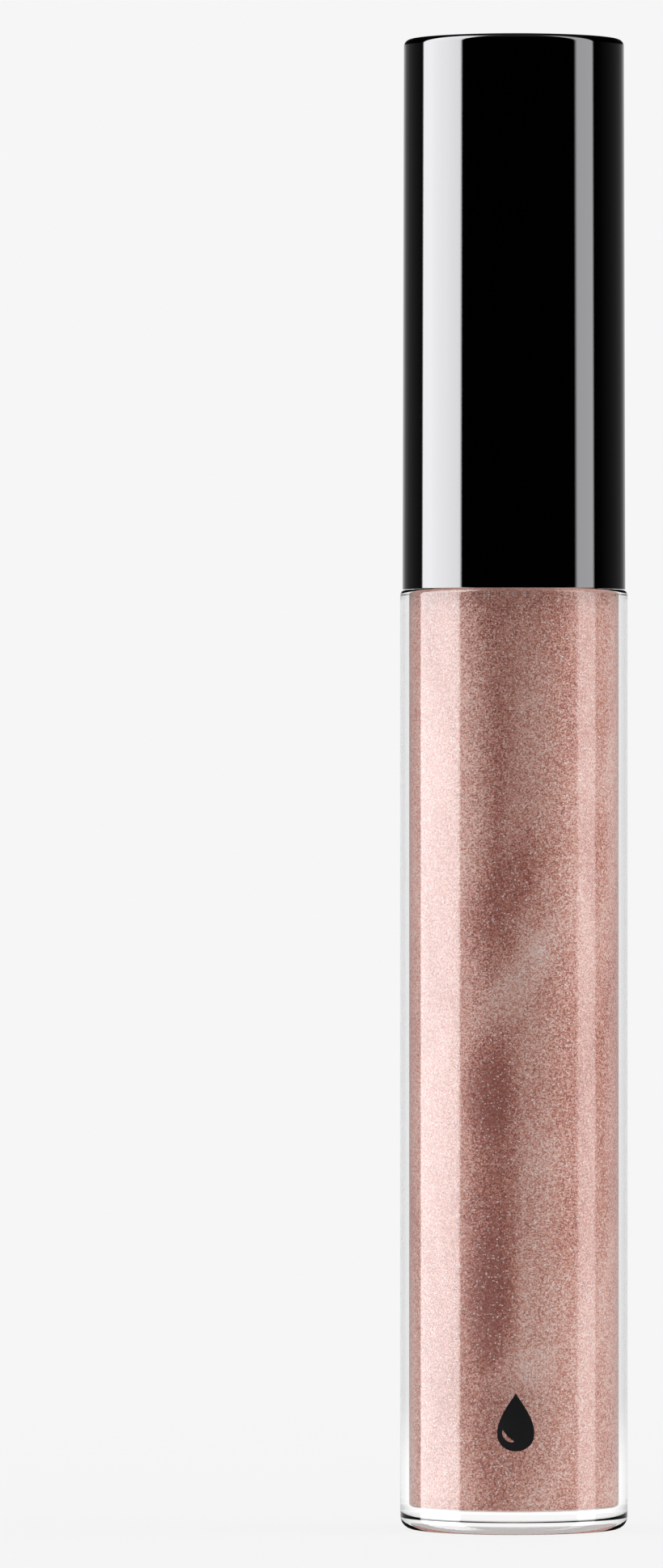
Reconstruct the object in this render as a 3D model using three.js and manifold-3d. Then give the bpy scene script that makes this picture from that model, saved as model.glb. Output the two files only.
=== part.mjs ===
// Lip gloss tube: a heavy-walled clear bottle closed by a screw cap that carries a wand applicator.
// Millimetres, +Z up. The origin is the centre of the flat base and the printed mark faces -Y.
import * as THREE from "three";
import { mergeVertices } from "three/addons/utils/BufferGeometryUtils.js";
import Module from "manifold-3d";

const wasm = await Module();
wasm.setup();

// ---------------------------------------------------------------- facets
const bodySegments = 40;
const stemSegments = 32;
const tipSegments = 24;
const filletSteps = 4;

// ---------------------------------------------------------------- clearances
const seatGap = 0.05; // between pieces that press into or sit on each other
const wipeGap = 0.06; // wiper lip to stem
const threadClearance = 0.1; // crest to crest, so the cap also lifts straight off
const shoulderGap = 0.2; // cap rim above the bottle's shoulder
const channelClearance = 0.35; // round the tip, on its way up through the gloss
const floorClearance = 10.8; // under the tip
const lipClearance = 0.4; // gloss level under the wiper lip

// ---------------------------------------------------------------- bottle
const bottleRadius = 8.5;
const bottleHeight = 70; // base to shoulder
const floorThickness = 1.6;
const baseFillet = 0.95;
const shoulderFillet = 0.35;
const boreFillet = 0.5;
const neckWall = 0.9;
const neckHeight = 12.5;
const neckChamfer = 0.3;
const beadRadius = 0.28; // stop bead at the foot of the neck
const beadHeight = 1.7; // above the shoulder

// ---------------------------------------------------------------- thread, right-handed
const threadLead = 3;
const threadTurns = 1.75;
const neckThreadHeight = 0.3;
const capThreadHeight = 0.25;
const threadRootWidth = 1;
const threadCrestWidth = 0.5;
const threadDrop = 3.4; // neck rim down to the top of the ridge
const threadBite = 0.1; // how deep a ridge is rooted in its wall

// ---------------------------------------------------------------- cap
const capHeight = 41.1;
const capStep = 0.16; // cap rim inside the bottle's outline
const capDraft = 0.11; // radius lost from rim to top
const shellWall = 0.89;
const shellTop = 1.2;
const shellStep = 0.55; // ledge that the inner cap's top edge stops against
const capTopFillet = 0.38;
const rimFillet = 0.12;
const ceilingFillet = 0.6;

// ---------------------------------------------------------------- inner cap
const innerCapWall = 0.5;
const innerCapCeiling = 1.5;
const innerCapRecess = 0.5; // its rim above the shell's rim
const innerCapLeadIn = 0.2;
const ribCount = 24;
const ribHeight = 0.15;
const ribWidth = 0.5;
const ribRecess = 1.2; // ribs end short of both edges
const collarWall = 0.9;
const collarRise = 0.4; // above the stem's head

// ---------------------------------------------------------------- wiper and seal
const flangeThickness = 0.7;
const flangeInset = 0.3;
const sleeveWall = 0.5;
const sleeveLength = 6;
const coneLength = 3.5;
const lipThickness = 0.35;
const linerThickness = 1;
const linerHoleGap = 0.3;

// ---------------------------------------------------------------- wand
const stemRadius = 2.085;
const stemEndFillet = 0.3;
const headRadius = 3.6;
const headThickness = 1.6;
const coreHoleRadius = 1;
const coreHoleDepth = 40;
const socketRadius = 1.3;
const socketDepth = 6;
const tipLength = 10.9;
const tipHalfWidth = 2.95;
const tipBelly = 3; // widest point, from the stem's end
const flockThickness = 0.45;
const spigotLength = 5.5;
const tipBackRatio = 0.82; // depth behind the axis over half-width
const tipFrontRatio = 0.8; // the same in front, at the stem's end
const tipEdgeRatio = 0.22; // and at the far end, so the front is a slanted face

// ---------------------------------------------------------------- printed mark
const markWidth = 3.3;
const markHeight = 4.3;
const markCentre = 8.4; // above the base
const printGap = 0.02;
const printThickness = 0.06;

// ---------------------------------------------------------------- worked out from the above
const capRimRadius = bottleRadius - capStep;
const capTopRadius = capRimRadius - capDraft;
const shellBore = capRimRadius - shellWall;
const ribRadius = shellBore - seatGap;
const innerCapRadius = ribRadius - ribHeight;
const innerCapBore = innerCapRadius - innerCapWall;
const capThreadCrest = innerCapBore - capThreadHeight;
const neckThreadCrest = capThreadCrest - threadClearance;
const neckRadius = neckThreadCrest - neckThreadHeight;
const boreRadius = neckRadius - neckWall;

const neckTop = bottleHeight + neckHeight;
const flangeTop = neckTop + flangeThickness;
const linerBottom = flangeTop + seatGap;
const linerTop = linerBottom + linerThickness;
const ceilingBottom = linerTop + seatGap;
const ceilingTop = ceilingBottom + innerCapCeiling;
const headBottom = ceilingTop + seatGap;
const headTop = headBottom + headThickness;
const rimHeight = bottleHeight + shoulderGap;
const capTop = rimHeight + capHeight;
const innerCapBottom = rimHeight + innerCapRecess;

const sleeveRadius = boreRadius - seatGap;
const sleeveBore = sleeveRadius - sleeveWall;
const orificeRadius = stemRadius + wipeGap;
const sleeveBottom = neckTop - sleeveLength;
const lipBottom = sleeveBottom - coneLength;

const tipBottom = floorThickness + floorClearance;
const stemBottom = tipBottom + tipLength;
const fillRadius = boreRadius - seatGap;
const channelRadius = tipHalfWidth + channelClearance;

// ---------------------------------------------------------------- shape helpers

// A body of revolution about Z from a profile of [radius, height]. The profile runs with the material
// on its left, and closes on itself or starts and ends on the axis.
function lathe(profile, segments = bodySegments) {
  const points = profile.map(([radius, height]) => new THREE.Vector2(radius, height));
  return new THREE.LatheGeometry(points, segments).rotateX(Math.PI / 2);
}

function closed(profile) {
  return [...profile, profile[0]];
}

// Points of an arc about [radius, height], between two angles in degrees, both ends included.
function arc([radius, height], size, from, to, steps = filletSteps) {
  return Array.from({ length: steps + 1 }, (_, i) => {
    const angle = THREE.MathUtils.degToRad(from + ((to - from) * i) / steps);
    return [radius + size * Math.cos(angle), height + size * Math.sin(angle)];
  });
}

// A closed geometry as a solid for joins and cuts, and back.
function solid(geometry) {
  const bare = geometry.clone();
  bare.deleteAttribute("normal");
  bare.deleteAttribute("uv");
  const merged = mergeVertices(bare, 1e-4);
  return new wasm.Manifold(
    new wasm.Mesh({
      numProp: 3,
      vertProperties: merged.attributes.position.array,
      triVerts: new Uint32Array(merged.index.array),
    }),
  );
}

function geometryOf(body) {
  const mesh = body.getMesh();
  const geometry = new THREE.BufferGeometry();
  geometry.setAttribute("position", new THREE.BufferAttribute(mesh.vertProperties, 3));
  geometry.setIndex(new THREE.BufferAttribute(mesh.triVerts, 1));
  geometry.computeVertexNormals();
  return geometry;
}

// A thread ridge from its top end down: a straight trapezoid bar, wound round Z as a right-hand helix.
// It is rooted a little way into its wall, and both ends run out into the wall.
function threadRidge(rootRadius, crestRadius, topHeight, topAngle) {
  const outward = Math.sign(crestRadius - rootRadius);
  const buried = rootRadius - outward * threadBite;
  const rise = crestRadius - buried;
  const corners = [
    [0, -threadRootWidth / 2],
    [rise, -threadCrestWidth / 2],
    [rise, threadCrestWidth / 2],
    [0, threadRootWidth / 2],
  ];
  if (outward < 0) corners.reverse();
  const section = new THREE.Shape(corners.map(([x, y]) => new THREE.Vector2(x, y)));
  const steps = Math.round(threadTurns * bodySegments);
  const bar = new THREE.ExtrudeGeometry(section, { depth: threadTurns, steps, bevelEnabled: false });
  const runOut = 0.15; // turns over which the ridge fades
  const least = 0.2; // of its height, still inside the wall
  const place = bar.attributes.position;
  for (let i = 0; i < place.count; i++) {
    const turns = place.getZ(i);
    const fade = Math.min(turns, threadTurns - turns) / runOut;
    const radius = buried + place.getX(i) * THREE.MathUtils.clamp(fade, least, 1);
    const angle = topAngle - turns * 2 * Math.PI;
    const height = topHeight + place.getY(i) - turns * threadLead;
    place.setXYZ(i, radius * Math.cos(angle), radius * Math.sin(angle), height);
  }
  return bar;
}

// ---------------------------------------------------------------- bottle group

function bottle() {
  const neckFoot = [neckRadius, bottleHeight];
  const bead = arc([neckRadius, bottleHeight + beadHeight], beadRadius, -90, 90);
  const body = lathe([
    [0, 0],
    ...arc([bottleRadius - baseFillet, baseFillet], baseFillet, -90, 0),
    ...arc([bottleRadius - shoulderFillet, bottleHeight - shoulderFillet], shoulderFillet, 0, 90),
    neckFoot,
    ...bead,
    [neckRadius, neckTop - neckChamfer],
    [neckRadius - neckChamfer, neckTop],
    [boreRadius, neckTop],
    ...arc([boreRadius - boreFillet, floorThickness + boreFillet], boreFillet, 0, -90),
    [0, floorThickness],
  ]);
  const ridge = threadRidge(neckRadius, neckThreadCrest, neckTop - threadDrop, 0);
  return geometryOf(solid(body).add(solid(ridge)));
}

// The gloss stands as a sleeve: its channel is the path of the wand, which it closes round when still.
function glossFill() {
  const fillBottom = floorThickness + seatGap;
  const fillTop = lipBottom - lipClearance;
  const channelBottom = tipBottom - channelClearance;
  return lathe([
    [0, fillBottom],
    ...arc([fillRadius - boreFillet, fillBottom + boreFillet], boreFillet, -90, 0),
    [fillRadius, fillTop],
    [channelRadius, fillTop],
    [channelRadius, channelBottom],
    [0, channelBottom],
  ]);
}

function wiper() {
  const leadIn = sleeveWall / 2;
  return lathe(
    closed([
      [orificeRadius, lipBottom],
      [orificeRadius + lipThickness, lipBottom],
      [sleeveRadius, sleeveBottom],
      [sleeveRadius, neckTop],
      [neckRadius - flangeInset, neckTop],
      [neckRadius - flangeInset, flangeTop],
      [sleeveBore + leadIn, flangeTop],
      [sleeveBore, flangeTop - leadIn],
      [sleeveBore, sleeveBottom],
      [orificeRadius, lipBottom + lipThickness],
    ]),
  );
}

// A drop with a bright crescent left out, cut from a thin skin that lies on the bottle's front.
function printedDrop() {
  const round = markWidth / 2;
  const drop = new THREE.Shape();
  drop.moveTo(0, markHeight);
  drop.bezierCurveTo(-0.15 * round, 0.72 * markHeight, -round, 1.75 * round, -round, round);
  drop.absarc(0, round, round, Math.PI, 2 * Math.PI, false);
  drop.bezierCurveTo(round, 1.75 * round, 0.15 * round, 0.72 * markHeight, 0, markHeight);
  const crescent = new THREE.Path();
  const [start, end] = [Math.PI * 1.02, Math.PI * 1.48];
  crescent.absarc(0, round, 0.7 * round, start, end, false);
  crescent.absarc(0, round, 0.45 * round, end, start, true);
  crescent.closePath();
  drop.holes.push(crescent);
  const stamp = new THREE.ExtrudeGeometry(drop, {
    depth: bottleRadius,
    bevelEnabled: false,
    curveSegments: 8,
  });
  stamp.rotateX(Math.PI / 2).translate(0, -bottleRadius / 2, markCentre - markHeight / 2);
  const low = markCentre - markHeight;
  const high = markCentre + markHeight;
  const skin = lathe(
    closed([
      [bottleRadius + printGap, low],
      [bottleRadius + printGap + printThickness, low],
      [bottleRadius + printGap + printThickness, high],
      [bottleRadius + printGap, high],
    ]),
  );
  return geometryOf(solid(stamp).intersect(solid(skin)));
}

// ---------------------------------------------------------------- cap group

function sealLiner() {
  return lathe(
    closed([
      [stemRadius + linerHoleGap, linerBottom],
      [neckRadius, linerBottom],
      [neckRadius, linerTop],
      [stemRadius + linerHoleGap, linerTop],
    ]),
  );
}

function innerCap() {
  const collarBore = headRadius + seatGap;
  const collarTop = headTop + collarRise;
  const body = lathe(
    closed([
      [innerCapBore + innerCapLeadIn, innerCapBottom],
      [innerCapRadius, innerCapBottom],
      [innerCapRadius, ceilingTop],
      [collarBore + collarWall, ceilingTop],
      [collarBore + collarWall, collarTop],
      [collarBore, collarTop],
      [collarBore, ceilingTop],
      [stemRadius + seatGap, ceilingTop],
      [stemRadius + seatGap, ceilingBottom],
      [innerCapBore, ceilingBottom],
      [innerCapBore, innerCapBottom + innerCapLeadIn],
    ]),
  );
  let cap = solid(body);
  const ridge = threadRidge(innerCapBore, capThreadCrest, neckTop - threadDrop, Math.PI);
  cap = cap.add(solid(ridge));
  const ribLength = ceilingTop - innerCapBottom - 2 * ribRecess;
  const ribReach = ribRadius - innerCapBore - innerCapWall / 2;
  for (let i = 0; i < ribCount; i++) {
    const rib = new THREE.BoxGeometry(ribReach, ribWidth, ribLength);
    rib.translate(ribRadius - ribReach / 2, 0, innerCapBottom + ribRecess + ribLength / 2);
    rib.rotateZ(((i + 0.5) * 2 * Math.PI) / ribCount);
    cap = cap.add(solid(rib));
  }
  return geometryOf(cap);
}

function capShell() {
  const ledge = ceilingTop + seatGap;
  const upperBore = shellBore - shellStep;
  const insideTop = capTop - shellTop;
  return lathe([
    [0, insideTop],
    ...arc([upperBore - ceilingFillet, insideTop - ceilingFillet], ceilingFillet, 90, 0),
    [upperBore, ledge],
    [shellBore, ledge],
    [shellBore, rimHeight + rimFillet],
    [shellBore + rimFillet, rimHeight],
    ...arc([capRimRadius - rimFillet, rimHeight + rimFillet], rimFillet, -90, 0, 2),
    ...arc([capTopRadius - capTopFillet, capTop - capTopFillet], capTopFillet, 0, 90),
    [0, capTop],
  ]);
}

// ---------------------------------------------------------------- wand group

function stem() {
  const holeBottom = headTop - coreHoleDepth;
  const socketTop = stemBottom + socketDepth;
  return lathe(
    [
      [0, socketTop],
      [socketRadius, socketTop],
      [socketRadius, stemBottom],
      ...arc([stemRadius - stemEndFillet, stemBottom + stemEndFillet], stemEndFillet, -90, 0, 3),
      [stemRadius, headBottom],
      [headRadius, headBottom],
      [headRadius, headTop],
      [coreHoleRadius, headTop],
      [coreHoleRadius, holeBottom],
      [0, holeBottom],
    ],
    stemSegments,
  );
}

// Half-width of the tip at a distance below the stem's end: it swells to its belly, then rounds off.
function tipProfile(distance) {
  if (distance < tipBelly) {
    const swell = Math.sin((Math.PI / 2) * (distance / tipBelly));
    return stemRadius + (tipHalfWidth - stemRadius) * swell;
  }
  const along = Math.min((distance - tipBelly) / (tipLength - tipBelly), 1);
  return tipHalfWidth * (1 - along ** 2.2) ** 0.385;
}

// The doe-foot form, inset all round by a skin thickness. The front is flattened into a slanted face.
function doeFoot(inset) {
  const rings = 16;
  const first = seatGap + inset;
  const reach = tipLength - 2 * inset - seatGap;
  const profile = [[0, stemBottom - first]];
  for (let i = 0; i <= rings; i++) {
    const share = Math.sin((Math.PI / 2) * (i / rings)); // rings close up towards the round end
    const halfWidth = tipProfile(seatGap + share * (tipLength - seatGap));
    profile.push([Math.max(halfWidth - inset, 0), stemBottom - first - share * reach]);
  }
  const foot = lathe(profile.reverse(), tipSegments);
  const place = foot.attributes.position;
  for (let i = 0; i < place.count; i++) {
    const share = (stemBottom - first - place.getZ(i)) / reach;
    const front = THREE.MathUtils.lerp(tipFrontRatio, tipEdgeRatio, share);
    const side = place.getY(i);
    place.setY(i, side * (side < 0 ? front : tipBackRatio));
  }
  return foot;
}

function spigot(radius, top, bottom) {
  return lathe([[0, bottom], [radius, bottom], [radius, top], [0, top]], tipSegments);
}

function tipCore() {
  const top = stemBottom + spigotLength;
  const bottom = stemBottom - seatGap - 2 * flockThickness;
  return geometryOf(
    solid(doeFoot(flockThickness)).add(solid(spigot(socketRadius - seatGap, top, bottom))),
  );
}

function tipFlock() {
  const top = stemBottom + spigotLength;
  const bottom = stemBottom - seatGap - 2 * flockThickness;
  return geometryOf(
    solid(doeFoot(0))
      .subtract(solid(doeFoot(flockThickness - seatGap)))
      .subtract(solid(spigot(socketRadius, top, bottom))),
  );
}

// ---------------------------------------------------------------- assembly

function piece(name, geometry, colour, roughness, extras = {}) {
  const material = new THREE.MeshStandardMaterial({ color: colour, roughness, metalness: 0, ...extras });
  const mesh = new THREE.Mesh(geometry, material);
  mesh.name = name;
  return mesh;
}

const bottleGroup = new THREE.Group();
bottleGroup.add(
  piece("bottle", bottle(), 0xf4f6f6, 0.05, { transparent: true, opacity: 0.3 }),
  piece("gloss_fill", glossFill(), 0xb98c84, 0.3, { metalness: 0.3 }),
  piece("wiper", wiper(), 0xe9e7e2, 0.5),
  piece("printed_drop", printedDrop(), 0x151515, 0.4),
);

const wandGroup = new THREE.Group();
wandGroup.add(
  piece("stem", stem(), 0x08080a, 0.15),
  piece("tip_core", tipCore(), 0xe4e0da, 0.6),
  piece("tip_flock", tipFlock(), 0xc79a91, 0.9),
);

const capGroup = new THREE.Group();
capGroup.add(
  piece("cap_shell", capShell(), 0x050507, 0.12),
  piece("inner_cap", innerCap(), 0x101012, 0.5),
  piece("seal_liner", sealLiner(), 0xf2f2ee, 0.7),
  wandGroup,
);

const lipGlossTube = new THREE.Group();
lipGlossTube.add(bottleGroup, capGroup);
export default lipGlossTube;
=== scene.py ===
"""A lip gloss tube: a clear heavy-walled bottle of shimmering gloss under a tall black screw cap.

The bottle, its gloss, the wiper in its neck and its printed drop stand still. The cap, its stem and the
flocked tip lift and turn with the applicator. Sizes are in metres and are read from the CAD frame.
"""

import math
import random

import bmesh
import bpy
from mathutils import Matrix, Vector, noise


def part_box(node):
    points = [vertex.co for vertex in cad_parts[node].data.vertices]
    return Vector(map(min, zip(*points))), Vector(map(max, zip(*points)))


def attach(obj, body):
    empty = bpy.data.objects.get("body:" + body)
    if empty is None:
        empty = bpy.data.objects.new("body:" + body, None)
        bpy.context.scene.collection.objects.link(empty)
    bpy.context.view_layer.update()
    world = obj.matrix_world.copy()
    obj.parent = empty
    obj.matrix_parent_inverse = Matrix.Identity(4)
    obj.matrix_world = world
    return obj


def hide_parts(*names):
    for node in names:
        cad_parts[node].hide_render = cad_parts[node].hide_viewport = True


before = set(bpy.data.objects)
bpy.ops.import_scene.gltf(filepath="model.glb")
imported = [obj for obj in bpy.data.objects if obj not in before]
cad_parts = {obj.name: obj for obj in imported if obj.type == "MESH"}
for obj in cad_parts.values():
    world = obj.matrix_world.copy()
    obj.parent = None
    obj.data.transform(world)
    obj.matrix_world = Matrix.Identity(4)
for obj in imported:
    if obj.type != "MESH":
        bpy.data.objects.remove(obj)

MM = 0.001
TURN = 2 * math.pi
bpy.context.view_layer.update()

# ------------------------------------------------------------------ sizes from the frame
bottle_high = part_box("bottle")[1]
fill_low, fill_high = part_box("gloss_fill")
wiper_low, wiper_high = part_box("wiper")
shell_low, shell_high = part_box("cap_shell")
inner_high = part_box("inner_cap")[1]
liner_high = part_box("seal_liner")[1]
stem_low, stem_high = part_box("stem")
flock_low, flock_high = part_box("tip_flock")
drop_low, drop_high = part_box("printed_drop")

SEAT_GAP = 0.05 * MM  # between pieces that sit against each other
BARREL_RADIUS = bottle_high.x
BORE_RADIUS = fill_high.x + SEAT_GAP
BORE_FLOOR = fill_low.z - SEAT_GAP
NECK_RADIUS = liner_high.x
NECK_TOP = bottle_high.z
CAP_RIM = shell_low.z
CAP_TOP = shell_high.z
SHOULDER = CAP_RIM - SEAT_GAP  # the gap under the cap is a hair line
STEM_RADIUS = 2.085 * MM
HEAD_RADIUS = stem_high.x  # the head that the inner cap holds

THREAD_LEAD = 3 * MM
THREAD_TURNS = 1.75
THREAD_HEIGHT = 0.3 * MM
THREAD_ROOT = 1 * MM
THREAD_CREST = 0.5 * MM
THREAD_DROP = 3.4 * MM  # neck rim down to the ridge's top

BACKDROP_WHITE = 0.921
BOX_RADIANCE = 9.1
BOX_DISTANCE = 0.5
BOX_HEIGHT = 0.09
FLOOR_RADIUS = 0.2


# ------------------------------------------------------------------ camera, light and floor
def level_camera():
    """A level long lens, a little to the left of the tube and at half its height."""
    camera = bpy.data.cameras.new("long_lens")
    camera.lens = 265
    camera.clip_start = 0.05
    camera.dof.use_dof = False
    holder = bpy.data.objects.new("camera", camera)
    holder.location = (-13.64 * MM, -863 * MM, 55.66 * MM)
    holder.rotation_euler = (math.radians(90), 0, 0)
    bpy.context.scene.collection.objects.link(holder)
    bpy.context.scene.camera = holder


def soft_light(name, azimuth, width, strength):
    """A tall soft box, at an azimuth in degrees from the front, positive to the right."""
    light = bpy.data.lights.new(name, "AREA")
    light.shape = "RECTANGLE"
    light.size = width
    light.size_y = 0.6
    light.energy = strength
    holder = bpy.data.objects.new(name, light)
    angle = math.radians(azimuth)
    holder.location = (BOX_DISTANCE * math.sin(angle), -BOX_DISTANCE * math.cos(angle), BOX_HEIGHT)
    holder.rotation_euler = (math.radians(90), 0, angle)
    holder.visible_camera = False
    holder.visible_transmission = False
    holder.visible_glossy = False  # the world's tall bright bands are what gloss mirrors
    bpy.context.scene.collection.objects.link(holder)


def level(nodes, links, source, steps):
    """A grey level that follows a 0 to 1 number through the given (place, level) steps."""
    ramp = nodes.new("ShaderNodeValToRGB")
    stops = ramp.color_ramp.elements
    while len(stops) > 1:
        stops.remove(stops[-1])
    for i, (place, value) in enumerate(steps):
        stop = stops[0] if i == 0 else stops.new(place)
        stop.position = place
        stop.color = (value, value, value, 1)
    links.new(source, ramp.inputs["Fac"])
    return ramp.outputs["Color"]


def maths(nodes, links, operation, *terms):
    """A Math node on numbers and sockets, as its output socket."""
    node = nodes.new("ShaderNodeMath")
    node.operation = operation
    for socket, term in zip(node.inputs, terms):
        if isinstance(term, (int, float)):
            socket.default_value = term
        else:
            links.new(term, socket)
    return node.outputs[0]


def by_azimuth(nodes, links, azimuth, *steps):
    """A level round the horizon, from (degrees, level) steps; 0 is the front, positive to the right."""
    places = [(0.5 + angle / 360, value) for angle, value in steps]
    return level(nodes, links, azimuth, [(0, 0), *places, (1, 0)])


def studio_air():
    """The studio round the tube: white behind it, and to gloss a dark room with two tall soft boxes. What
    is mirrored inside the clear wall sees softer, dimmer boxes and a little light from all round."""
    world = bpy.data.worlds.new("studio")
    bpy.context.scene.world = world
    world.cycles.sampling_method = "NONE"
    world.use_nodes = True
    nodes, links = world.node_tree.nodes, world.node_tree.links
    nodes.clear()
    direction = nodes.new("ShaderNodeTexCoord")
    split = nodes.new("ShaderNodeSeparateXYZ")
    links.new(direction.outputs["Generated"], split.inputs[0])
    x, y, z = split.outputs

    azimuth = maths(nodes, links, "ARCTAN2", x, maths(nodes, links, "MULTIPLY", y, -1))
    azimuth = maths(nodes, links, "MULTIPLY_ADD", azimuth, 1 / TURN, 0.5)
    boxes = by_azimuth(
        nodes, links, azimuth,
        (-111.2, 0), (-110.4, 0.74), (-98, 0.85), (-76, 0.85), (-61, 0.8), (-58.5, 0.76), (-56.5, 0),
        (65.5, 0), (68.5, 0.36), (89, 0.35), (91, 0),
    )
    inner = by_azimuth(
        nodes, links, azimuth,
        (-150, 0), (-135, 0.04), (-118, 0.12), (-100, 0.2), (-80, 0.2), (-62, 0.13), (-54, 0.04), (-46, 0),
        (60, 0), (84, 0.06), (92, 0.15), (106, 0.15), (116, 0.03), (124, 0),
    )
    height = maths(nodes, links, "ABSOLUTE", z)
    tall = level(nodes, links, height, [(0, 1), (0.86, 1), (0.96, 0.1), (1, 0)])
    path = nodes.new("ShaderNodeLightPath")
    inside = maths(nodes, links, "GREATER_THAN", path.outputs["Transmission Depth"], 0.5)
    softer = maths(nodes, links, "SUBTRACT", inner, boxes)
    boxes = maths(nodes, links, "MULTIPLY_ADD", inside, softer, boxes)
    boxes = maths(nodes, links, "MULTIPLY", boxes, maths(nodes, links, "MULTIPLY", tall, BOX_RADIANCE))
    room = level(nodes, links, maths(nodes, links, "MAXIMUM", y, 0), [
        (0.0, 0), (0.15, 0.004), (0.45, 0.035), (0.64, 0.065), (0.79, 0.11), (0.89, 0.23), (1.0, 0.75),
    ])
    ceiling = level(nodes, links, z, [(0, 0), (0.7, 0), (0.95, 0.1), (1, 0.14)])
    waist = level(nodes, links, height, [(0, 1), (0.07, 1), (0.13, 0.04), (1, 0.02)])
    room = maths(nodes, links, "MULTIPLY", room, waist)
    room = maths(nodes, links, "MULTIPLY_ADD", inside, 0.3, room)
    mirrored = maths(nodes, links, "ADD", maths(nodes, links, "ADD", room, boxes), ceiling)
    through = level(nodes, links, height, [(0, 1), (0.3, 1), (0.6, 0.35), (1, 0.3)])

    shows_gloss = maths(nodes, links, "GREATER_THAN", path.outputs["Glossy Depth"], 0.5)
    shows_dull = maths(nodes, links, "GREATER_THAN", path.outputs["Diffuse Depth"], 0.5)
    backdrop, clear_air = ((BACKDROP_WHITE,) * 3, None), ((1, 1, 1), through)
    dark_room, all_round = ((1, 1, 1.03), mirrored), ((0.5, 0.5, 0.5), None)
    parts = []
    for colour, strength in (backdrop, clear_air, dark_room, all_round):
        part = nodes.new("ShaderNodeBackground")
        part.inputs["Color"].default_value = (*colour, 1)
        if strength:
            links.new(strength, part.inputs["Strength"])
        parts.append(part.outputs[0])
    whole = parts[0]
    for part, share in zip(parts[1:], (path.outputs["Is Transmission Ray"], shows_gloss, shows_dull)):
        mix = nodes.new("ShaderNodeMixShader")
        links.new(share, mix.inputs[0])
        links.new(whole, mix.inputs[1])
        links.new(part, mix.inputs[2])
        whole = mix.outputs[0]
    out = nodes.new("ShaderNodeOutputWorld")
    links.new(whole, out.inputs["Surface"])


def pale_floor():
    """A small round sheet of pale card that fades into the backdrop."""
    bm = bmesh.new()
    bmesh.ops.create_circle(bm, cap_ends=True, segments=96, radius=FLOOR_RADIUS)
    mesh = bpy.data.meshes.new("floor")
    bm.to_mesh(mesh)
    bm.free()
    floor = bpy.data.objects.new("floor", mesh)
    floor.location = (0, 0, -0.02 * MM)
    bpy.context.scene.collection.objects.link(floor)
    material = bpy.data.materials.new("pale card")
    material.use_nodes = True
    nodes, links = material.node_tree.nodes, material.node_tree.links
    nodes.clear()
    coordinates = nodes.new("ShaderNodeTexCoord")
    distance = nodes.new("ShaderNodeVectorMath")
    distance.operation = "LENGTH"
    fade = nodes.new("ShaderNodeMapRange")
    fade.interpolation_type = "SMOOTHSTEP"
    fade.inputs["From Min"].default_value = 0.25 * FLOOR_RADIUS
    fade.inputs["From Max"].default_value = 0.95 * FLOOR_RADIUS
    glow = nodes.new("ShaderNodeEmission")
    glow.inputs["Color"].default_value = (BACKDROP_WHITE, BACKDROP_WHITE, BACKDROP_WHITE, 1)
    seen = nodes.new("ShaderNodeLightPath")
    strength = maths(nodes, links, "MULTIPLY_ADD", seen.outputs["Is Camera Ray"], -0.27, 1.15)
    links.new(strength, glow.inputs["Strength"])
    card = nodes.new("ShaderNodeBsdfDiffuse")
    card.inputs["Color"].default_value = (0.15, 0.15, 0.15, 1)
    both = nodes.new("ShaderNodeAddShader")
    clear = nodes.new("ShaderNodeBsdfTransparent")
    blend = nodes.new("ShaderNodeMixShader")
    out = nodes.new("ShaderNodeOutputMaterial")
    links.new(coordinates.outputs["Object"], distance.inputs[0])
    links.new(distance.outputs["Value"], fade.inputs["Value"])
    links.new(glow.outputs[0], both.inputs[0])
    links.new(card.outputs[0], both.inputs[1])
    links.new(fade.outputs[0], blend.inputs[0])
    links.new(both.outputs[0], blend.inputs[1])
    links.new(clear.outputs[0], blend.inputs[2])
    links.new(blend.outputs[0], out.inputs["Surface"])
    mesh.materials.append(material)
    floor.visible_glossy = False


# ------------------------------------------------------------------ shaping
def finished(name, bm, material, body, slot, *nodes_replaced):
    """Turn a bmesh into a smooth-shaded piece that rides on its body."""
    mesh = bpy.data.meshes.new(name)
    bm.normal_update()
    bm.to_mesh(mesh)
    bm.free()
    mesh.shade_smooth()
    mesh.materials.append(material)
    piece = bpy.data.objects.new(name, mesh)
    bpy.context.scene.collection.objects.link(piece)
    even = piece.modifiers.new("even shading", "WEIGHTED_NORMAL")
    even.keep_sharp = True
    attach(piece, body)
    if nodes_replaced:
        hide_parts(*nodes_replaced)
    return piece


def at_corner(vertex, radius, height, reach=1e-6):
    return abs(vertex.co.xy.length - radius) < reach and abs(vertex.co.z - height) < reach


def turned(outline, around_steps=160, round_steps=6):
    """A body of revolution. The outline lists (radius, height, rounding) and starts and ends on the axis,
    or closes on itself; each corner with a rounding is bevelled after the spin."""
    bm = bmesh.new()
    on_axis = outline[0][0] == 0
    corners = [bm.verts.new((radius, 0, height)) for radius, height, _ in outline]
    pairs = list(zip(corners, corners[1:]))
    if not on_axis:
        pairs.append((corners[-1], corners[0]))
    edges = [bm.edges.new(pair) for pair in pairs]
    bmesh.ops.spin(
        bm, geom=corners + edges, cent=(0, 0, 0), axis=(0, 0, 1), angle=TURN,
        steps=around_steps, use_merge=True,
    )
    bmesh.ops.remove_doubles(bm, verts=bm.verts, dist=1e-7)
    for radius, height, rounding in outline:
        if not rounding:
            continue
        ring = [e for e in bm.edges if all(at_corner(v, radius, height) for v in e.verts)]
        bmesh.ops.bevel(
            bm, geom=ring, offset=rounding, offset_type="OFFSET", segments=round_steps,
            profile=0.5, affect="EDGES", material=-1,
        )
    bmesh.ops.recalc_face_normals(bm, faces=bm.faces)
    return bm


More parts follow.
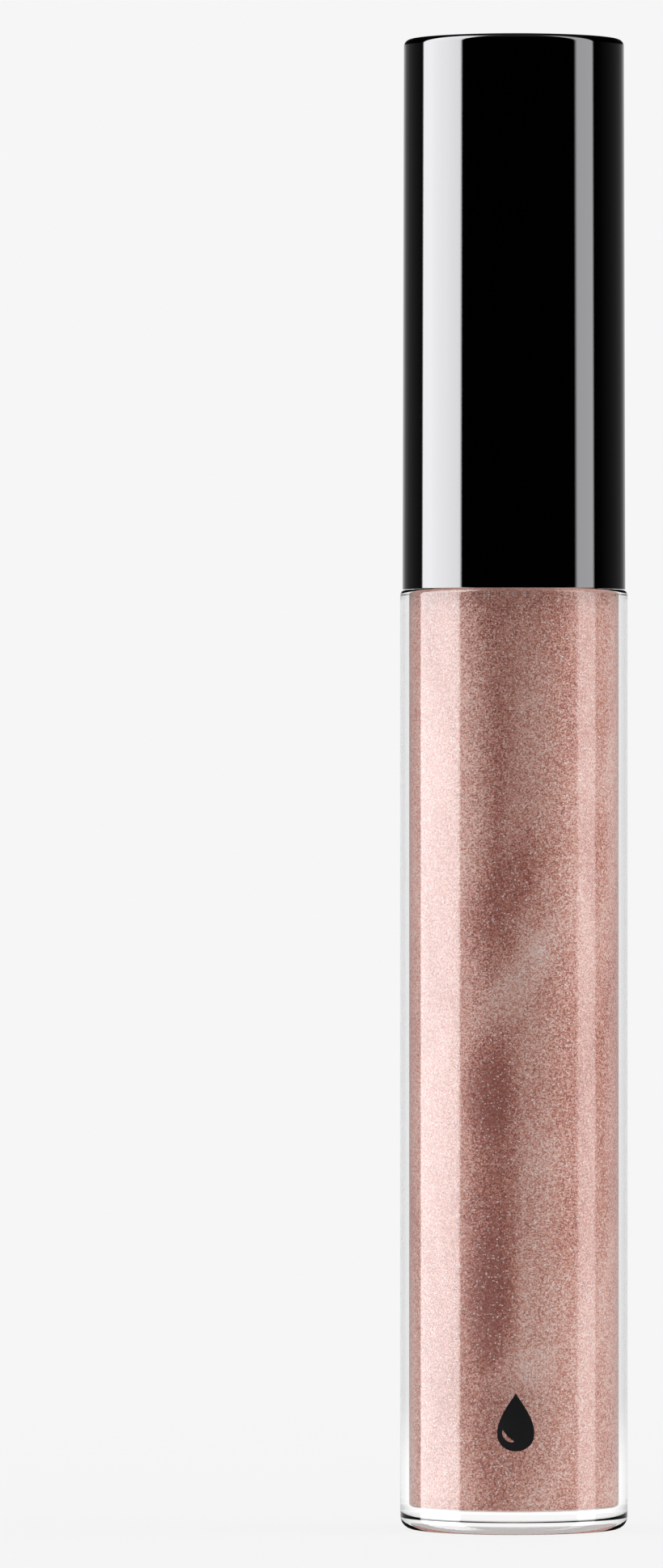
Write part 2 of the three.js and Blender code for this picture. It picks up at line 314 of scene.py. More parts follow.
def thread_ridge(root, crest, foot_height):
    """A right-hand thread ridge, rooted a little inside its wall, with both ends run out."""
    bite = 0.1 * MM * (1 if crest > root else -1)
    steps_per_turn = 96
    steps = round(THREAD_TURNS * steps_per_turn)
    buried = root - bite
    root_half, crest_half = THREAD_ROOT / 2, THREAD_CREST / 2
    section = [(buried, -root_half), (crest, -crest_half), (crest, crest_half), (buried, root_half)]
    bm = bmesh.new()
    corners = [bm.verts.new((radius, 0, foot_height + z)) for radius, z in section]
    face = bm.faces.new(corners)
    bmesh.ops.spin(
        bm, geom=[face, *face.edges, *corners], cent=(0, 0, 0), axis=(0, 0, 1),
        dvec=(0, 0, THREAD_LEAD / steps_per_turn), angle=THREAD_TURNS * TURN, steps=steps,
    )
    bmesh.ops.recalc_face_normals(bm, faces=bm.faces)
    run_out = 0.15 * THREAD_LEAD
    lead_in = 0.3 * MM
    low = min(v.co.z for v in bm.verts) + root_half
    high = max(v.co.z for v in bm.verts) - root_half
    for v in bm.verts:
        radius = v.co.xy.length
        if abs(radius - buried) < 1e-6:
            continue
        fade = min(v.co.z - low + lead_in, high + lead_in - v.co.z) / run_out
        share = min(max(fade, 0.15), 1)
        v.co.xy *= (buried + (radius - buried) * share) / radius
    return bm


def joined(base, extra):
    """Union of two closed meshes, as a new bmesh."""
    objects = []
    for bm in (base, extra):
        mesh = bpy.data.meshes.new("blank")
        bm.to_mesh(mesh)
        bm.free()
        blank = bpy.data.objects.new("blank", mesh)
        bpy.context.scene.collection.objects.link(blank)
        objects.append(blank)
    union = objects[0].modifiers.new("union", "BOOLEAN")
    union.operation = "UNION"
    union.solver = "EXACT"
    union.object = objects[1]
    bpy.context.view_layer.update()
    whole = objects[0].evaluated_get(bpy.context.evaluated_depsgraph_get())
    bm = bmesh.new()
    bm.from_mesh(whole.to_mesh())
    for blank in objects:
        bpy.data.objects.remove(blank)
    return bm


# ------------------------------------------------------------------ shared effects
def group_tree(name, inputs, outputs):
    """An empty shader group with named sockets: returns (tree, its inputs node, its outputs node)."""
    tree = bpy.data.node_groups.new(name, "ShaderNodeTree")
    for label, kind, value in inputs:
        socket = tree.interface.new_socket(label, in_out="INPUT", socket_type=kind)
        if value is not None:
            socket.default_value = value
    for label, kind in outputs:
        tree.interface.new_socket(label, in_out="OUTPUT", socket_type=kind)
    return tree, tree.nodes.new("NodeGroupInput"), tree.nodes.new("NodeGroupOutput")


def moulding_grain():
    """Fine grain, slow variation and a little height for moulded plastic, from object coordinates."""
    tree, given, result = group_tree(
        "moulding grain",
        [("Grain per Metre", "NodeSocketFloat", 9000.0), ("Cloud per Metre", "NodeSocketFloat", 120.0),
         ("Low", "NodeSocketFloat", 0.1), ("High", "NodeSocketFloat", 0.2)],
        [("Roughness", "NodeSocketFloat"), ("Height", "NodeSocketFloat"), ("Cloud", "NodeSocketFloat")],
    )
    nodes, links = tree.nodes, tree.links
    coordinates = nodes.new("ShaderNodeTexCoord")
    grain = nodes.new("ShaderNodeTexNoise")
    grain.inputs["Detail"].default_value = 3
    cloud = nodes.new("ShaderNodeTexNoise")
    cloud.inputs["Detail"].default_value = 4
    mixed = nodes.new("ShaderNodeMath")
    mixed.operation = "MULTIPLY"
    spread = nodes.new("ShaderNodeMapRange")
    spread.inputs["From Min"].default_value = 0.12
    spread.inputs["From Max"].default_value = 0.42
    links.new(coordinates.outputs["Object"], grain.inputs["Vector"])
    links.new(coordinates.outputs["Object"], cloud.inputs["Vector"])
    links.new(given.outputs["Grain per Metre"], grain.inputs["Scale"])
    links.new(given.outputs["Cloud per Metre"], cloud.inputs["Scale"])
    links.new(grain.outputs["Fac"], mixed.inputs[0])
    links.new(cloud.outputs["Fac"], mixed.inputs[1])
    links.new(mixed.outputs[0], spread.inputs["Value"])
    links.new(given.outputs["Low"], spread.inputs["To Min"])
    links.new(given.outputs["High"], spread.inputs["To Max"])
    links.new(spread.outputs[0], result.inputs["Roughness"])
    links.new(grain.outputs["Fac"], result.inputs["Height"])
    links.new(cloud.outputs["Fac"], result.inputs["Cloud"])
    return tree


def shimmer_flakes():
    """Flat mica flakes lying at random tilts. Each has its own normal, a brightness from -0.5 to 0.5, and
    a glint mask that is 1 on the few brightest."""
    tree, given, result = group_tree(
        "shimmer flakes",
        [("Flakes per Metre", "NodeSocketFloat", 7000.0), ("Tilt", "NodeSocketFloat", 0.5)],
        [("Normal", "NodeSocketVector"), ("Glint", "NodeSocketFloat"), ("Brightness", "NodeSocketFloat")],
    )
    nodes, links = tree.nodes, tree.links
    coordinates = nodes.new("ShaderNodeTexCoord")
    cells = nodes.new("ShaderNodeTexVoronoi")
    cells.feature = "F1"
    centred = nodes.new("ShaderNodeVectorMath")
    centred.operation = "SUBTRACT"
    centred.inputs[1].default_value = (0.5, 0.5, 0.5)
    tilted = nodes.new("ShaderNodeVectorMath")
    tilted.operation = "SCALE"
    surface = nodes.new("ShaderNodeNewGeometry")
    lean = nodes.new("ShaderNodeVectorMath")
    lean.operation = "ADD"
    unit = nodes.new("ShaderNodeVectorMath")
    unit.operation = "NORMALIZE"
    channel = nodes.new("ShaderNodeSeparateColor")
    glint = nodes.new("ShaderNodeMapRange")
    glint.interpolation_type = "SMOOTHSTEP"
    glint.inputs["From Min"].default_value = 0.92
    glint.inputs["From Max"].default_value = 1.0
    brightness = nodes.new("ShaderNodeMapRange")
    brightness.inputs["To Min"].default_value = -0.5
    brightness.inputs["To Max"].default_value = 0.5
    links.new(coordinates.outputs["Object"], cells.inputs["Vector"])
    links.new(given.outputs["Flakes per Metre"], cells.inputs["Scale"])
    links.new(cells.outputs["Color"], centred.inputs[0])
    links.new(centred.outputs[0], tilted.inputs[0])
    links.new(given.outputs["Tilt"], tilted.inputs["Scale"])
    links.new(surface.outputs["Normal"], lean.inputs[0])
    links.new(tilted.outputs[0], lean.inputs[1])
    links.new(lean.outputs[0], unit.inputs[0])
    links.new(cells.outputs["Color"], channel.inputs[0])
    links.new(channel.outputs[0], glint.inputs["Value"])
    links.new(unit.outputs[0], result.inputs["Normal"])
    links.new(glint.outputs[0], result.inputs["Glint"])
    links.new(channel.outputs[1], brightness.inputs["Value"])
    links.new(brightness.outputs[0], result.inputs["Brightness"])
    return tree


GRAIN = moulding_grain()
FLAKES = shimmer_flakes()


# ------------------------------------------------------------------ finishes
def finish(name):
    """A new material with its principled shader: returns (material, nodes, links, shader)."""
    material = bpy.data.materials.new(name)
    material.use_nodes = True
    nodes, links = material.node_tree.nodes, material.node_tree.links
    return material, nodes, links, nodes["Principled BSDF"]


def use_grain(nodes, links, shader, grain, low, high, bump):
    """Place the moulding grain in a material, on roughness and on a fine bump."""
    effect = nodes.new("ShaderNodeGroup")
    effect.node_tree = GRAIN
    effect.inputs["Grain per Metre"].default_value = grain
    effect.inputs["Cloud per Metre"].default_value = 120
    effect.inputs["Low"].default_value = low
    effect.inputs["High"].default_value = high
    links.new(effect.outputs["Roughness"], shader.inputs["Roughness"])
    relief = nodes.new("ShaderNodeBump")
    relief.inputs["Strength"].default_value = bump
    relief.inputs["Distance"].default_value = 0.02 * MM
    links.new(effect.outputs["Height"], relief.inputs["Height"])
    links.new(relief.outputs["Normal"], shader.inputs["Normal"])
    return effect


def plain_moulding(name, colour, low, high, grain=9000, bump=0.1, specular=0.5, ior=1.5):
    """Moulded plastic in one colour, with a little slow variation in shade; low and high are the range of
    its roughness."""
    tint = 0.15
    material, nodes, links, shader = finish(name)
    shader.inputs["Specular IOR Level"].default_value = specular
    shader.inputs["IOR"].default_value = ior
    effect = use_grain(nodes, links, shader, grain, low, high, bump)
    shade = nodes.new("ShaderNodeMix")
    shade.data_type = "RGBA"
    shade.inputs["A"].default_value = (*[c * (1 - tint) for c in colour], 1)
    shade.inputs["B"].default_value = (*[min(c * (1 + tint), 1) for c in colour], 1)
    links.new(effect.outputs["Cloud"], shade.inputs["Factor"])
    links.new(shade.outputs["Result"], shader.inputs["Base Color"])
    return material


def clear_plastic():
    """Thick clear plastic that lets light through to the gloss."""
    material, nodes, links, shader = finish("clear plastic")
    shader.inputs["Base Color"].default_value = (1, 1, 1, 1)
    shader.inputs["Transmission Weight"].default_value = 1
    shader.inputs["IOR"].default_value = 1.5
    shader.inputs["Roughness"].default_value = 0.0
    path = nodes.new("ShaderNodeLightPath")
    clear = nodes.new("ShaderNodeBsdfTransparent")
    clear.inputs["Color"].default_value = (0.96, 0.97, 0.97, 1)
    either = nodes.new("ShaderNodeMixShader")
    out = nodes["Material Output"]
    links.new(path.outputs["Is Shadow Ray"], either.inputs[0])
    links.new(shader.outputs[0], either.inputs[1])
    links.new(clear.outputs[0], either.inputs[2])
    links.new(either.outputs[0], out.inputs["Surface"])
    return material


def soft_patch(nodes, links, coordinates, place, tilt, reach):
    """A mask that is 1 at a place and fades to 0 over an ellipsoid, tilted in degrees about Y."""
    around_patch = nodes.new("ShaderNodeMapping")
    around_patch.vector_type = "TEXTURE"
    around_patch.inputs["Location"].default_value = [c * MM for c in place]
    around_patch.inputs["Rotation"].default_value = (0, math.radians(-tilt), 0)
    around_patch.inputs["Scale"].default_value = [c * MM for c in reach]
    ball = nodes.new("ShaderNodeTexGradient")
    ball.gradient_type = "SPHERICAL"
    links.new(coordinates, around_patch.inputs["Vector"])
    links.new(around_patch.outputs[0], ball.inputs["Vector"])
    soft = nodes.new("ShaderNodeMapRange")
    soft.interpolation_type = "SMOOTHSTEP"
    soft.inputs["From Max"].default_value = 0.75
    links.new(ball.outputs["Fac"], soft.inputs["Value"])
    return soft.outputs[0]


# streaks of paler (positive) and deeper (negative) gloss: place, tilt in degrees, reach, weight; in mm
STREAKS = (
    ((1.5, -4.9, 22), 90, (32, 4, 2.6), 0.3),
    ((1.3, -5.0, 60), 90, (12, 4, 2.6), 0.36),
    ((-1.4, -5.0, 24), 90, (22, 4, 2.2), -0.28),
    ((-2.6, -4.5, 54), 89, (17, 4, 1.8), 0.16),
    ((0.2, -5.2, 41.2), 56, (7.2, 4, 2.0), 0.36),
    ((1.5, -5.0, 45), 72, (5, 4, 2.2), 0.1),
    ((-1.0, -5.2, 47.2), 58, (7.5, 4, 2.4), -0.3),
    ((-1.8, -4.9, 32.6), 88, (4.8, 4, 2.3), -0.5),
    ((-1.8, -4.9, 17.3), 90, (6.8, 4, 2.3), -0.58),
    ((1.6, -4.9, 27), 88, (6.5, 4, 2.2), 0.16),
    ((0.5, -5.2, 12), 12, (5, 4, 2.2), 0.2),
)


def shimmering_gloss():
    """Pearly rose liquid: slow swirls of pale and deep rose tone, full of tiny flakes whose brightest few
    are painted pale as glints, with a painted sheen that makes the colour paler at grazing angles. The
    underside that faces the floor of the bore is painted pale, as light standing in for the bright base."""
    material, nodes, links, shader = finish("shimmering gloss")
    coordinates = nodes.new("ShaderNodeTexCoord").outputs["Object"]
    stretch = nodes.new("ShaderNodeMapping")
    stretch.inputs["Scale"].default_value = (1, 1, 0.4)
    stretch.inputs["Rotation"].default_value = (0, math.radians(25), 0)
    swirl = nodes.new("ShaderNodeTexNoise")
    swirl.inputs["Scale"].default_value = 160
    swirl.inputs["Detail"].default_value = 3
    swirl.inputs["Distortion"].default_value = 1.0
    links.new(coordinates, stretch.inputs["Vector"])
    links.new(stretch.outputs[0], swirl.inputs["Vector"])
    shade = maths(nodes, links, "MULTIPLY_ADD", swirl.outputs["Fac"], 1.2, -0.2)
    for place, tilt, reach, weight in STREAKS:
        patch = soft_patch(nodes, links, coordinates, place, tilt, reach)
        shade = maths(nodes, links, "MULTIPLY_ADD", patch, weight, shade)
    flakes = nodes.new("ShaderNodeGroup")
    flakes.node_tree = FLAKES
    flakes.inputs["Flakes per Metre"].default_value = 12000
    flakes.inputs["Tilt"].default_value = 0.3
    shade = maths(nodes, links, "MULTIPLY_ADD", flakes.outputs["Brightness"], 1.05, shade)
    # painted sheen: Layer Weight makes the gloss colour paler towards grazing angles, a sheen painted into
    # the base colour
    grazing = nodes.new("ShaderNodeLayerWeight")
    painted_pearl_sheen = nodes.new("ShaderNodeMapRange")
    painted_pearl_sheen.inputs["From Min"].default_value = 0.03
    painted_pearl_sheen.inputs["From Max"].default_value = 0.3
    painted_pearl_sheen.inputs["To Max"].default_value = 0.26
    links.new(grazing.outputs["Facing"], painted_pearl_sheen.inputs["Value"])
    shade = maths(nodes, links, "ADD", shade, painted_pearl_sheen.outputs[0])
    pigment_and_painted_light = nodes.new("ShaderNodeValToRGB")
    pigment_and_painted_light.color_ramp.elements[0].position = 0.12
    pigment_and_painted_light.color_ramp.elements[0].color = (0.31, 0.078, 0.052, 1)
    pigment_and_painted_light.color_ramp.elements[1].position = 0.42
    pigment_and_painted_light.color_ramp.elements[1].color = (0.64, 0.262, 0.195, 1)
    for place, colour in ((0.72, (0.86, 0.545, 0.465, 1)), (1.0, (0.95, 0.8, 0.77, 1))):
        pigment_and_painted_light.color_ramp.elements.new(place).color = colour
    links.new(maths(nodes, links, "MULTIPLY_ADD", shade, 0.6, 0.135), pigment_and_painted_light.inputs["Fac"])
    # painted glints: the few brightest flakes are painted a pale colour in the base colour
    painted_glint = nodes.new("ShaderNodeMix")
    painted_glint.data_type = "RGBA"
    painted_glint.inputs["B"].default_value = (0.97, 0.88, 0.86, 1)
    links.new(flakes.outputs["Glint"], painted_glint.inputs["Factor"])
    links.new(pigment_and_painted_light.outputs["Color"], painted_glint.inputs["A"])
    # painted light: the faces of the gloss that look down to the floor are painted pale, standing in for
    # the bright base
    facing_down = nodes.new("ShaderNodeSeparateXYZ")
    links.new(nodes.new("ShaderNodeNewGeometry").outputs["Normal"], facing_down.inputs[0])
    underside = maths(nodes, links, "LESS_THAN", facing_down.outputs["Z"], -0.6)
    painted_pale_underside = nodes.new("ShaderNodeMix")
    painted_pale_underside.data_type = "RGBA"
    painted_pale_underside.inputs["B"].default_value = (0.9, 0.88, 0.87, 1)
    links.new(underside, painted_pale_underside.inputs["Factor"])
    links.new(painted_glint.outputs["Result"], painted_pale_underside.inputs["A"])
    links.new(painted_pale_underside.outputs["Result"], shader.inputs["Base Color"])
    links.new(flakes.outputs["Normal"], shader.inputs["Normal"])
    shader.inputs["Roughness"].default_value = 0.22
    shader.inputs["Specular IOR Level"].default_value = 1
    shader.inputs["Specular Tint"].default_value = (1, 0.82, 0.77, 1)
    shader.inputs["IOR"].default_value = 1.6
    shader.inputs["Sheen Weight"].default_value = 0.5
    shader.inputs["Sheen Roughness"].default_value = 0.4
    shader.inputs["Sheen Tint"].default_value = (1, 0.97, 0.97, 1)
    return material


def loaded_flock():
    """Short pile soaked and matted with gloss: pearly rose, ridged, painted deeper in the hollows and paler
    on the ridges as shade and light, its brightest flakes painted pale as glints, and wetter and smoother
    on the high places.
    """
    material, nodes, links, shader = finish("flock loaded with gloss")
    coordinates = nodes.new("ShaderNodeTexCoord").outputs["Object"]
    run = nodes.new("ShaderNodeMapping")
    run.inputs["Scale"].default_value = (1, 1, 0.3)
    waves = nodes.new("ShaderNodeTexNoise")
    waves.inputs["Scale"].default_value = 900
    waves.inputs["Detail"].default_value = 4
    waves.inputs["Distortion"].default_value = 0.8
    links.new(coordinates, run.inputs["Vector"])
    links.new(run.outputs[0], waves.inputs["Vector"])
    # the colour follows the same noise as the bump, so the hollows are painted deeper and the ridges paler:
    # partly the gloss's own tone, partly painted shade and light
    pigment_and_painted_light = nodes.new("ShaderNodeValToRGB")
    pigment_and_painted_light.color_ramp.elements[0].position = 0.36
    pigment_and_painted_light.color_ramp.elements[0].color = (0.33, 0.12, 0.095, 1)
    pigment_and_painted_light.color_ramp.elements[1].position = 0.64
    pigment_and_painted_light.color_ramp.elements[1].color = (0.86, 0.6, 0.55, 1)
    links.new(waves.outputs["Fac"], pigment_and_painted_light.inputs["Fac"])
    flakes = nodes.new("ShaderNodeGroup")
    flakes.node_tree = FLAKES
    flakes.inputs["Flakes per Metre"].default_value = 14000
    flakes.inputs["Tilt"].default_value = 0.4
    # painted glints: the few brightest flakes of the tip are painted a pale colour in the base colour
    painted_glint = nodes.new("ShaderNodeMix")
    painted_glint.data_type = "RGBA"
    painted_glint.inputs["B"].default_value = (0.95, 0.82, 0.78, 1)
    links.new(flakes.outputs["Glint"], painted_glint.inputs["Factor"])
    links.new(pigment_and_painted_light.outputs["Color"], painted_glint.inputs["A"])
    links.new(painted_glint.outputs["Result"], shader.inputs["Base Color"])
    wet = nodes.new("ShaderNodeMapRange")
    wet.inputs["From Min"].default_value = 0.3
    wet.inputs["From Max"].default_value = 0.7
    wet.inputs["To Min"].default_value = 0.5
    wet.inputs["To Max"].default_value = 0.2
    links.new(waves.outputs["Fac"], wet.inputs["Value"])
    links.new(wet.outputs[0], shader.inputs["Roughness"])
    relief = nodes.new("ShaderNodeBump")
    relief.inputs["Strength"].default_value = 0.6
    relief.inputs["Distance"].default_value = 0.16 * MM
    links.new(waves.outputs["Fac"], relief.inputs["Height"])
    links.new(flakes.outputs["Normal"], relief.inputs["Normal"])
    links.new(relief.outputs["Normal"], shader.inputs["Normal"])
    return material


CLEAR_PLASTIC = clear_plastic()
SHIMMERING_GLOSS = shimmering_gloss()
BLACK_GLOSS = plain_moulding(
    "polished black plastic", (0.0003, 0.0003, 0.0004), 0.02, 0.05, bump=0.02, specular=1, ior=1.55,
)
BLACK_SATIN = plain_moulding("satin black plastic", (0.012, 0.012, 0.013), 0.35, 0.5)
WIPER_PLASTIC = plain_moulding("natural soft plastic", (0.88, 0.87, 0.84), 0.3, 0.45)
SEAL_FOAM = plain_moulding("white foam", (0.8, 0.8, 0.77), 0.7, 0.9, grain=5000, bump=0.5)
LOADED_FLOCK = loaded_flock()
LOOSE_PILE = plain_moulding("loose pile", (0.9, 0.66, 0.62), 0.5, 0.7, specular=0.2)
TIP_PLASTIC = plain_moulding("pale soft plastic", (0.72, 0.68, 0.64), 0.4, 0.6)
PRINT_INK = plain_moulding("black printing ink", (0.008, 0.008, 0.009), 0.3, 0.45, bump=0.2)


# ------------------------------------------------------------------ bottle
def make_bottle():
    """The barrel, shoulder, stop bead and neck turned as one, with the thread's ridge joined on."""
    bead_low = SHOULDER + 1.42 * MM
    bead_high = SHOULDER + 1.98 * MM
    bead = NECK_RADIUS + 0.28 * MM
    rings = 18
    neck_rings = [(NECK_RADIUS, bead_high + (NECK_TOP - bead_high) * i / rings, 0) for i in range(1, rings)]
    blank = turned([
        (0, 0, 0),
        (BARREL_RADIUS, 0, 0.95 * MM),
        (BARREL_RADIUS, SHOULDER, 0.35 * MM),
        (NECK_RADIUS, SHOULDER, 0.2 * MM),
        (NECK_RADIUS, bead_low, 0),
        (bead, bead_low + 0.1 * MM, 0.1 * MM),
        (bead, bead_high - 0.1 * MM, 0.1 * MM),
        (NECK_RADIUS, bead_high, 0),
        *neck_rings,
        (NECK_RADIUS, NECK_TOP, 0.3 * MM),
        (BORE_RADIUS, NECK_TOP, 0.08 * MM),
        (BORE_RADIUS, BORE_FLOOR, 0.25 * MM),
        (0, BORE_FLOOR, 0),
    ], around_steps=192)
    ridge_foot = NECK_TOP - THREAD_DROP - THREAD_TURNS * THREAD_LEAD
    ridge = thread_ridge(NECK_RADIUS, NECK_RADIUS + THREAD_HEIGHT, ridge_foot)
    whole = joined(blank, ridge)
    piece = finished("clear_bottle", whole, CLEAR_PLASTIC, "bottle", "clear_plastic", "bottle")
    piece.data.set_sharp_from_angle(angle=math.radians(32))


def make_gloss():
    """The gloss up to its level in the neck, with the channel that the applicator stands in."""
    wetting = 0.02 * MM  # the gloss wets the wall, so its skin lies just inside the plastic
    radius = BORE_RADIUS + wetting
    floor = BORE_FLOOR - wetting
    channel = flock_high.x + 0.35 * MM
    channel_floor = flock_low.z - 0.35 * MM
    blank = turned([
        (0, floor, 0),
        (radius, floor, 0.25 * MM),
        (radius, fill_high.z, 0),
        (channel, fill_high.z, 0),
        (channel, channel_floor, 0.5 * MM),
        (0, channel_floor, 0),
    ], around_steps=192)
    finished("shimmering_gloss_fill", blank, SHIMMERING_GLOSS, "bottle", "gloss", "gloss_fill")


def make_wiper():
    """A flanged sleeve that narrows to the lip that wipes the stem."""
    sleeve = BORE_RADIUS - SEAT_GAP
    bore = sleeve - 0.5 * MM
    orifice = STEM_RADIUS + 0.06 * MM
    lip = wiper_low.z
    cone_top = NECK_TOP - 6 * MM
    flange = wiper_high.x
    blank = turned([
        (orifice, lip, 0.1 * MM),
        (orifice + 0.35 * MM, lip, 0.1 * MM),
        (sleeve, cone_top, 0.5 * MM),
        (sleeve, NECK_TOP, 0),
        (flange, NECK_TOP, 0.12 * MM),
        (flange, wiper_high.z, 0.2 * MM),
        (bore, wiper_high.z, 0.3 * MM),
        (bore, cone_top, 0.5 * MM),
        (orifice, lip + 0.35 * MM, 0),
    ], around_steps=96, round_steps=4)
    finished("neck_wiper", blank, WIPER_PLASTIC, "bottle", "wiper_plastic", "wiper")


def make_print():
    """A drop outline with a crescent left out, filled, sliced, rolled round the barrel and thickened."""
    half_width = (drop_high.x - drop_low.x) / 2
    half_height = (drop_high.z - drop_low.z) / 2
    middle = (drop_high.z + drop_low.z) / 2
    bm = bmesh.new()
    outline = bmesh.ops.create_circle(bm, segments=72, radius=1)["verts"]
    for v in outline:
        turn = math.atan2(v.co.x, v.co.y)
        pinch = abs(math.sin(turn / 2)) ** 1.2
        v.co = Vector((1.13 * half_width * math.sin(turn) * pinch, half_height * math.cos(turn), 0))
    crescent = bmesh.ops.create_circle(bm, segments=40, radius=1)["verts"]
    for v in crescent:
        turn = math.atan2(v.co.x, v.co.y)
        sweep = math.radians(225) + math.radians(38) * math.sin(turn)
        reach = half_width * (0.58 + 0.09 * math.cos(turn) * abs(math.cos(turn)) ** 0.3)
        v.co = Vector((reach * math.cos(sweep), reach * math.sin(sweep) - 0.22 * half_height, 0))
    bmesh.ops.triangle_fill(bm, edges=bm.edges, use_beauty=True)
    slices = 24
    for i in range(1, slices):
        x = half_width * (2 * i / slices - 1)
        geometry = [*bm.verts, *bm.edges, *bm.faces]
        bmesh.ops.bisect_plane(bm, geom=geometry, plane_co=(x, 0, 0), plane_no=(1, 0, 0))
    radius = BARREL_RADIUS - 0.01 * MM
    for v in bm.verts:
        angle = v.co.x / BARREL_RADIUS
        v.co = Vector((radius * math.sin(angle), -radius * math.cos(angle), middle + v.co.y))
    bmesh.ops.recalc_face_normals(bm, faces=bm.faces)
    if sum(f.normal.y for f in bm.faces) > 0:
        bmesh.ops.reverse_faces(bm, faces=bm.faces)
    bmesh.ops.solidify(bm, geom=bm.faces[:], thickness=-0.06 * MM)
    bmesh.ops.recalc_face_normals(bm, faces=bm.faces)
    piece = finished("printed_drop_ink", bm, PRINT_INK, "bottle", "print_ink", "printed_drop")
    piece.data.set_sharp_from_angle(angle=math.radians(40))


# ------------------------------------------------------------------ cap and wand
def make_cap_shell():
    """The tall outer cap: a light draft, a crisp rim, and a stepped bore that takes the inner cap."""
    rim_radius = shell_high.x
    top_radius = rim_radius - 0.11 * MM
    bore = rim_radius - 0.89 * MM
    upper_bore = bore - 0.55 * MM
    ledge = inner_high.z - 2.0 * MM
    ceiling = CAP_TOP - 1.2 * MM
    blank = turned([
        (0, ceiling, 0),
        (upper_bore, ceiling, 0.6 * MM),
        (upper_bore, ledge, 0),
        (bore, ledge, 0),
        (bore, CAP_RIM, 0.08 * MM),
        (rim_radius, CAP_RIM, 0.05 * MM),
        (top_radius, CAP_TOP, 0.5 * MM),
        (0, CAP_TOP, 0),
    ], around_steps=192)
    finished("cap_outer_shell", blank, BLACK_GLOSS, "applicator", "black_gloss_plastic", "cap_shell")


def make_stem():
    """The wand: a solid rod with a head, cored from above, and a socket for the tip's spigot below."""
    socket = 1.3 * MM
    hole = 1.0 * MM
    head_low = stem_high.z - 1.6 * MM
    blank = turned([
        (0, stem_low.z + 6 * MM, 0),
        (socket, stem_low.z + 6 * MM, 0),
        (socket, stem_low.z, 0),
        (STEM_RADIUS, stem_low.z, 0.3 * MM),
        (STEM_RADIUS, head_low, 0),
        (HEAD_RADIUS, head_low, 0.1 * MM),
        (HEAD_RADIUS, stem_high.z, 0.2 * MM),
        (hole, stem_high.z, 0),
        (hole, stem_high.z - 40 * MM, 0),
        (0, stem_high.z - 40 * MM, 0),
    ], around_steps=96)
    finished("wand_stem", blank, BLACK_GLOSS, "applicator", "black_gloss_plastic", "stem")


TIP_WIDEST = 3 * MM  # below the stem's end


def tip_half_width(below):
    """Half-width of the tip at a distance below the stem's end: it swells, then rounds off."""
    widest = flock_high.x
    if below < TIP_WIDEST:
        return STEM_RADIUS + (widest - STEM_RADIUS) * math.sin(math.pi / 2 * below / TIP_WIDEST)
    along = min((below - TIP_WIDEST) / (stem_low.z - flock_low.z - TIP_WIDEST), 1)
    return widest * (1 - along ** 2.2) ** 0.385


def tip_form(clearance, rings=44, around_steps=80):
    """The slanted doe-foot form: turned, then flattened in front towards its far end."""
    top = stem_low.z - 0.05 * MM
    reach = top - flock_low.z - clearance
    outline = [(0, top, 0)]
    for i in range(rings + 1):
        share = math.sin(math.pi / 2 * i / rings)
        radius = tip_half_width(share * reach + 0.05 * MM) - clearance
        outline.append((max(radius, 0), top - share * reach, 0))
    outline[-1] = (0, top - reach, 0)
    bm = turned(outline, around_steps=around_steps)
    for v in bm.verts:
        share = (top - v.co.z) / reach
        v.co.y *= 0.8 - 0.58 * share if v.co.y < 0 else 0.82
    bm.normal_update()
    return bm


def make_tip():
    """The matted pile: soft lumps and ripples, and a wavy ridge down its front."""
    bm = tip_form(0.16 * MM)
    top = stem_low.z
    for v in bm.verts:
        place = v.co / MM
        lumps = noise.noise(Vector((place.x * 0.9, place.y * 0.9, place.z * 0.35)))
        ripples = noise.noise(Vector((place.x * 2.6 + 7, place.y * 2.6, place.z * 0.8)))
        bend = 0.5 * math.sin(place.z * 0.9) + 0.25 * math.sin(place.z * 2.3)
        ridge = math.exp(-((place.x + 0.9 - bend) / 0.28) ** 2) if place.y < 0 else 0
        inland = min((top - v.co.z) / (0.8 * MM), 1)
        v.co += v.normal * inland * MM * (0.07 * lumps + 0.035 * ripples + 0.1 * ridge)
    finished("loaded_tip", bm, LOADED_FLOCK, "applicator", "flock", "tip_flock")


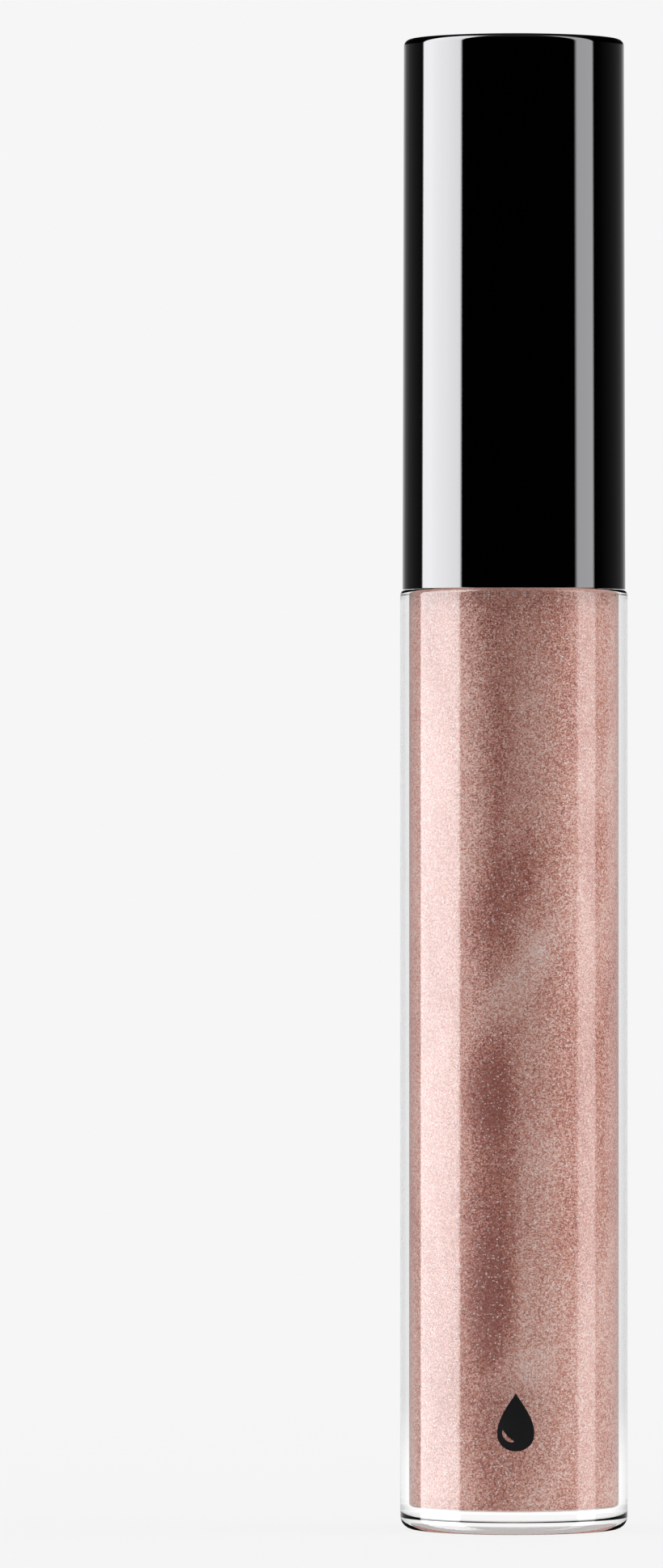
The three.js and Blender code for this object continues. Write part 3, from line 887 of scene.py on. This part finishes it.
def make_tip_fibres(count=1500):
    """Stray fibres of the pile, each a thin three-sided spike, thickest near the stem."""
    pick = random.Random(11)
    form = tip_form(0.2 * MM, rings=30, around_steps=48)
    bmesh.ops.triangulate(form, faces=form.faces)
    faces = [f for f in form.faces if f.normal.z < 0.95]
    fray = [math.exp((f.calc_center_median().z - stem_low.z) / (1.2 * MM)) for f in faces]
    weights = [f.calc_area() * (0.6 + 6 * share) for f, share in zip(faces, fray)]
    bm = bmesh.new()
    for i in pick.choices(range(len(faces)), weights, k=count):
        face = faces[i]
        shares = [pick.random() for _ in face.verts]
        foot = sum((v.co * share for v, share in zip(face.verts, shares)), Vector()) / sum(shares)
        lean = Vector([pick.uniform(-0.6, 0.6) for _ in range(3)]) + Vector((0, 0, pick.uniform(-0.2, 0.5)))
        way = (face.normal + lean).normalized()
        length = pick.uniform(0.16, 0.26 + 0.2 * fray[i]) * MM
        turn = way.to_track_quat("Z", "Y").to_matrix().to_4x4()
        middle = foot + face.normal * 0.02 * MM + way * length / 2
        bmesh.ops.create_cone(
            bm, cap_ends=True, segments=3, radius1=0.022 * MM, radius2=0.006 * MM, depth=length,
            matrix=Matrix.Translation(middle) @ turn,
        )
    form.free()
    finished("tip_fibres", bm, LOOSE_PILE, "applicator", "flock")


def make_smear():
    """Gloss carried up over the stem's rounded end, with a ragged upper edge."""
    skin = STEM_RADIUS + 0.04 * MM
    inside = STEM_RADIUS - 0.04 * MM
    low = stem_low.z + 0.18 * MM
    top = stem_low.z + 0.75 * MM
    bm = turned([
        (inside, low, 0), (skin, low, 0.03 * MM), (skin, top, 0.03 * MM), (inside, top, 0),
    ], around_steps=120, round_steps=2)
    for v in bm.verts:
        if v.co.z > (low + top) / 2:
            around = v.co.xy.normalized()
            v.co.z += 0.45 * MM * noise.noise(Vector((around.x * 2.2, around.y * 2.2, 3)))
            v.co.z += 0.12 * MM * noise.noise(Vector((around.x * 9, around.y * 9, 5)))
    finished("gloss_on_stem", bm, LOADED_FLOCK, "applicator", "gloss")


# ------------------------------------------------------------------ assembly
level_camera()
studio_air()
soft_light("left soft box", -96, 0.4, 1.5)
soft_light("right soft box", 90, 0.4, 1.85)
pale_floor()

make_bottle()
make_gloss()
make_wiper()
make_print()
make_cap_shell()
make_stem()
make_tip()
make_tip_fibres()
make_smear()
for node, material in (("inner_cap", BLACK_SATIN), ("seal_liner", SEAL_FOAM), ("tip_core", TIP_PLASTIC)):
    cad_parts[node].data.materials.clear()
    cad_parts[node].data.materials.append(material)

view = bpy.context.scene.view_settings
view.view_transform = "Standard"
